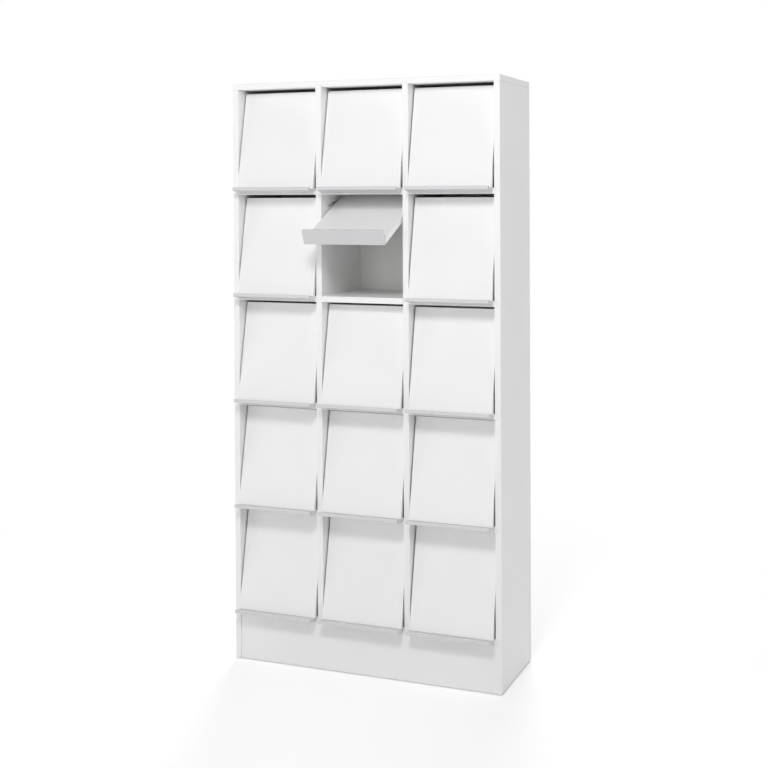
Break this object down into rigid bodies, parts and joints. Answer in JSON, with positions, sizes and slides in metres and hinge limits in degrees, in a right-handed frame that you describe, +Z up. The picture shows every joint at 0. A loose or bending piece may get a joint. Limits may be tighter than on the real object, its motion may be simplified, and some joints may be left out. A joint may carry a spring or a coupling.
{
  "type": "literature rack",
  "caption": "Tall white literature display cabinet: compartments in rows and columns, each closed by a sloping flap with a lip for a leaflet; a lifted flap turns and slides back",
  "frame": {"origin": "on the floor, in the middle of the rack's bounding box as it stands with one flap lifted", "axes": "+X to the right and +Y to the back for someone who stands in front of it, +Z up"},
  "size_m": [0.907, 0.4867, 1.88],
  "materials": {
    "carcase_board": "white melamine-faced board, satin",
    "back_board": "white lacquered fibreboard, matt",
    "flap_board": "white lacquered board, satin",
    "lip_board": "light grey lacquered board, satin",
    "rod": "drawn steel rod, bright",
    "foot_strip": "dark grey plastic edging, matt"
  },
  "bodies": {
    "carcase": {"side_left": "carcase_board", "side_right": "carcase_board", "top_panel": "carcase_board", "bottom_panel": "carcase_board", "divider_1": "carcase_board", "divider_2": "carcase_board", "shelf_1": "carcase_board", "shelf_2": "carcase_board", "shelf_3": "carcase_board", "shelf_4": "carcase_board", "back_panel": "back_board", "plinth_front": "carcase_board", "plinth_rear": "carcase_board", "foot_strip_left": "foot_strip", "foot_strip_right": "foot_strip"},
    "rod_r1c1": {"pivot_rod_r1c1": "rod"},
    "flap_r1c1": {"flap_panel_r1c1": "flap_board", "flap_lip_r1c1": "lip_board"},
    "rod_r1c2": {"pivot_rod_r1c2": "rod"},
    "flap_r1c2": {"flap_panel_r1c2": "flap_board", "flap_lip_r1c2": "lip_board"},
    "rod_r1c3": {"pivot_rod_r1c3": "rod"},
    "flap_r1c3": {"flap_panel_r1c3": "flap_board", "flap_lip_r1c3": "lip_board"},
    "rod_r2c1": {"pivot_rod_r2c1": "rod"},
    "flap_r2c1": {"flap_panel_r2c1": "flap_board", "flap_lip_r2c1": "lip_board"},
    "rod_r2c2": {"pivot_rod_r2c2": "rod"},
    "flap_r2c2": {"flap_panel_r2c2": "flap_board", "flap_lip_r2c2": "lip_board"},
    "rod_r2c3": {"pivot_rod_r2c3": "rod"},
    "flap_r2c3": {"flap_panel_r2c3": "flap_board", "flap_lip_r2c3": "lip_board"},
    "rod_r3c1": {"pivot_rod_r3c1": "rod"},
    "flap_r3c1": {"flap_panel_r3c1": "flap_board", "flap_lip_r3c1": "lip_board"},
    "rod_r3c2": {"pivot_rod_r3c2": "rod"},
    "flap_r3c2": {"flap_panel_r3c2": "flap_board", "flap_lip_r3c2": "lip_board"},
    "rod_r3c3": {"pivot_rod_r3c3": "rod"},
    "flap_r3c3": {"flap_panel_r3c3": "flap_board", "flap_lip_r3c3": "lip_board"},
    "rod_r4c1": {"pivot_rod_r4c1": "rod"},
    "flap_r4c1": {"flap_panel_r4c1": "flap_board", "flap_lip_r4c1": "lip_board"},
    "rod_r4c2": {"pivot_rod_r4c2": "rod"},
    "flap_r4c2": {"flap_panel_r4c2": "flap_board", "flap_lip_r4c2": "lip_board"},
    "rod_r4c3": {"pivot_rod_r4c3": "rod"},
    "flap_r4c3": {"flap_panel_r4c3": "flap_board", "flap_lip_r4c3": "lip_board"},
    "rod_r5c1": {"pivot_rod_r5c1": "rod"},
    "flap_r5c1": {"flap_panel_r5c1": "flap_board", "flap_lip_r5c1": "lip_board"},
    "rod_r5c2": {"pivot_rod_r5c2": "rod"},
    "flap_r5c2": {"flap_panel_r5c2": "flap_board", "flap_lip_r5c2": "lip_board"},
    "rod_r5c3": {"pivot_rod_r5c3": "rod"},
    "flap_r5c3": {"flap_panel_r5c3": "flap_board", "flap_lip_r5c3": "lip_board"}
  },
  "joints": [
    {"name": "rod_slide_r1c1", "type": "slide", "parent": "carcase", "child": "rod_r1c1", "axis": [0, 0.981, 0.194], "range_m": [0, 0.0875]},
    {"name": "flap_lift_r1c1", "type": "hinge", "parent": "rod_r1c1", "child": "flap_r1c1", "pos_m": [-0.296, -0.03395, 1.82488], "axis": [-1, 0, 0], "range_deg": [0, 53.5]},
    {"name": "rod_slide_r1c2", "type": "slide", "parent": "carcase", "child": "rod_r1c2", "axis": [0, 0.981, 0.194], "range_m": [0, 0.0875]},
    {"name": "flap_lift_r1c2", "type": "hinge", "parent": "rod_r1c2", "child": "flap_r1c2", "pos_m": [0, -0.03395, 1.82488], "axis": [-1, 0, 0], "range_deg": [0, 53.5]},
    {"name": "rod_slide_r1c3", "type": "slide", "parent": "carcase", "child": "rod_r1c3", "axis": [0, 0.981, 0.194], "range_m": [0, 0.0875]},
    {"name": "flap_lift_r1c3", "type": "hinge", "parent": "rod_r1c3", "child": "flap_r1c3", "pos_m": [0.296, -0.03395, 1.82488], "axis": [-1, 0, 0], "range_deg": [0, 53.5]},
    {"name": "rod_slide_r2c1", "type": "slide", "parent": "carcase", "child": "rod_r2c1", "axis": [0, 0.981, 0.194], "range_m": [0, 0.0875]},
    {"name": "flap_lift_r2c1", "type": "hinge", "parent": "rod_r2c1", "child": "flap_r2c1", "pos_m": [-0.296, -0.03395, 1.48288], "axis": [-1, 0, 0], "range_deg": [0, 53.5]},
    {"name": "rod_slide_r2c2", "type": "slide", "parent": "carcase", "child": "rod_r2c2", "axis": [0, 0.981, 0.194], "range_m": [-0.0875, 0]},
    {"name": "flap_lift_r2c2", "type": "hinge", "parent": "rod_r2c2", "child": "flap_r2c2", "pos_m": [0, 0.05185, 1.49985], "axis": [-1, 0, 0], "range_deg": [-53.5, 0]},
    {"name": "rod_slide_r2c3", "type": "slide", "parent": "carcase", "child": "rod_r2c3", "axis": [0, 0.981, 0.194], "range_m": [0, 0.0875]},
    {"name": "flap_lift_r2c3", "type": "hinge", "parent": "rod_r2c3", "child": "flap_r2c3", "pos_m": [0.296, -0.03395, 1.48288], "axis": [-1, 0, 0], "range_deg": [0, 53.5]},
    {"name": "rod_slide_r3c1", "type": "slide", "parent": "carcase", "child": "rod_r3c1", "axis": [0, 0.981, 0.194], "range_m": [0, 0.0875]},
    {"name": "flap_lift_r3c1", "type": "hinge", "parent": "rod_r3c1", "child": "flap_r3c1", "pos_m": [-0.296, -0.03395, 1.14088], "axis": [-1, 0, 0], "range_deg": [0, 53.5]},
    {"name": "rod_slide_r3c2", "type": "slide", "parent": "carcase", "child": "rod_r3c2", "axis": [0, 0.981, 0.194], "range_m": [0, 0.0875]},
    {"name": "flap_lift_r3c2", "type": "hinge", "parent": "rod_r3c2", "child": "flap_r3c2", "pos_m": [0, -0.03395, 1.14088], "axis": [-1, 0, 0], "range_deg": [0, 53.5]},
    {"name": "rod_slide_r3c3", "type": "slide", "parent": "carcase", "child": "rod_r3c3", "axis": [0, 0.981, 0.194], "range_m": [0, 0.0875]},
    {"name": "flap_lift_r3c3", "type": "hinge", "parent": "rod_r3c3", "child": "flap_r3c3", "pos_m": [0.296, -0.03395, 1.14088], "axis": [-1, 0, 0], "range_deg": [0, 53.5]},
    {"name": "rod_slide_r4c1", "type": "slide", "parent": "carcase", "child": "rod_r4c1", "axis": [0, 0.981, 0.194], "range_m": [0, 0.0875]},
    {"name": "flap_lift_r4c1", "type": "hinge", "parent": "rod_r4c1", "child": "flap_r4c1", "pos_m": [-0.296, -0.03395, 0.79888], "axis": [-1, 0, 0], "range_deg": [0, 53.5]},
    {"name": "rod_slide_r4c2", "type": "slide", "parent": "carcase", "child": "rod_r4c2", "axis": [0, 0.981, 0.194], "range_m": [0, 0.0875]},
    {"name": "flap_lift_r4c2", "type": "hinge", "parent": "rod_r4c2", "child": "flap_r4c2", "pos_m": [0, -0.03395, 0.79888], "axis": [-1, 0, 0], "range_deg": [0, 53.5]},
    {"name": "rod_slide_r4c3", "type": "slide", "parent": "carcase", "child": "rod_r4c3", "axis": [0, 0.981, 0.194], "range_m": [0, 0.0875]},
    {"name": "flap_lift_r4c3", "type": "hinge", "parent": "rod_r4c3", "child": "flap_r4c3", "pos_m": [0.296, -0.03395, 0.79888], "axis": [-1, 0, 0], "range_deg": [0, 53.5]},
    {"name": "rod_slide_r5c1", "type": "slide", "parent": "carcase", "child": "rod_r5c1", "axis": [0, 0.981, 0.194], "range_m": [0, 0.0875]},
    {"name": "flap_lift_r5c1", "type": "hinge", "parent": "rod_r5c1", "child": "flap_r5c1", "pos_m": [-0.296, -0.03395, 0.45688], "axis": [-1, 0, 0], "range_deg": [0, 53.5]},
    {"name": "rod_slide_r5c2", "type": "slide", "parent": "carcase", "child": "rod_r5c2", "axis": [0, 0.981, 0.194], "range_m": [0, 0.0875]},
    {"name": "flap_lift_r5c2", "type": "hinge", "parent": "rod_r5c2", "child": "flap_r5c2", "pos_m": [0, -0.03395, 0.45688], "axis": [-1, 0, 0], "range_deg": [0, 53.5]},
    {"name": "rod_slide_r5c3", "type": "slide", "parent": "carcase", "child": "rod_r5c3", "axis": [0, 0.981, 0.194], "range_m": [0, 0.0875]},
    {"name": "flap_lift_r5c3", "type": "hinge", "parent": "rod_r5c3", "child": "flap_r5c3", "pos_m": [0.296, -0.03395, 0.45688], "axis": [-1, 0, 0], "range_deg": [0, 53.5]}
  ],
  "couplings": [
    {"joint": "rod_slide_r1c1", "follows": "flap_lift_r1c1", "m_per_rad": 0.09366},
    {"joint": "rod_slide_r1c2", "follows": "flap_lift_r1c2", "m_per_rad": 0.09366},
    {"joint": "rod_slide_r1c3", "follows": "flap_lift_r1c3", "m_per_rad": 0.09366},
    {"joint": "rod_slide_r2c1", "follows": "flap_lift_r2c1", "m_per_rad": 0.09366},
    {"joint": "rod_slide_r2c2", "follows": "flap_lift_r2c2", "m_per_rad": 0.09366},
    {"joint": "rod_slide_r2c3", "follows": "flap_lift_r2c3", "m_per_rad": 0.09366},
    {"joint": "rod_slide_r3c1", "follows": "flap_lift_r3c1", "m_per_rad": 0.09366},
    {"joint": "rod_slide_r3c2", "follows": "flap_lift_r3c2", "m_per_rad": 0.09366},
    {"joint": "rod_slide_r3c3", "follows": "flap_lift_r3c3", "m_per_rad": 0.09366},
    {"joint": "rod_slide_r4c1", "follows": "flap_lift_r4c1", "m_per_rad": 0.09366},
    {"joint": "rod_slide_r4c2", "follows": "flap_lift_r4c2", "m_per_rad": 0.09366},
    {"joint": "rod_slide_r4c3", "follows": "flap_lift_r4c3", "m_per_rad": 0.09366},
    {"joint": "rod_slide_r5c1", "follows": "flap_lift_r5c1", "m_per_rad": 0.09366},
    {"joint": "rod_slide_r5c2", "follows": "flap_lift_r5c2", "m_per_rad": 0.09366},
    {"joint": "rod_slide_r5c3", "follows": "flap_lift_r5c3", "m_per_rad": 0.09366}
  ]
}
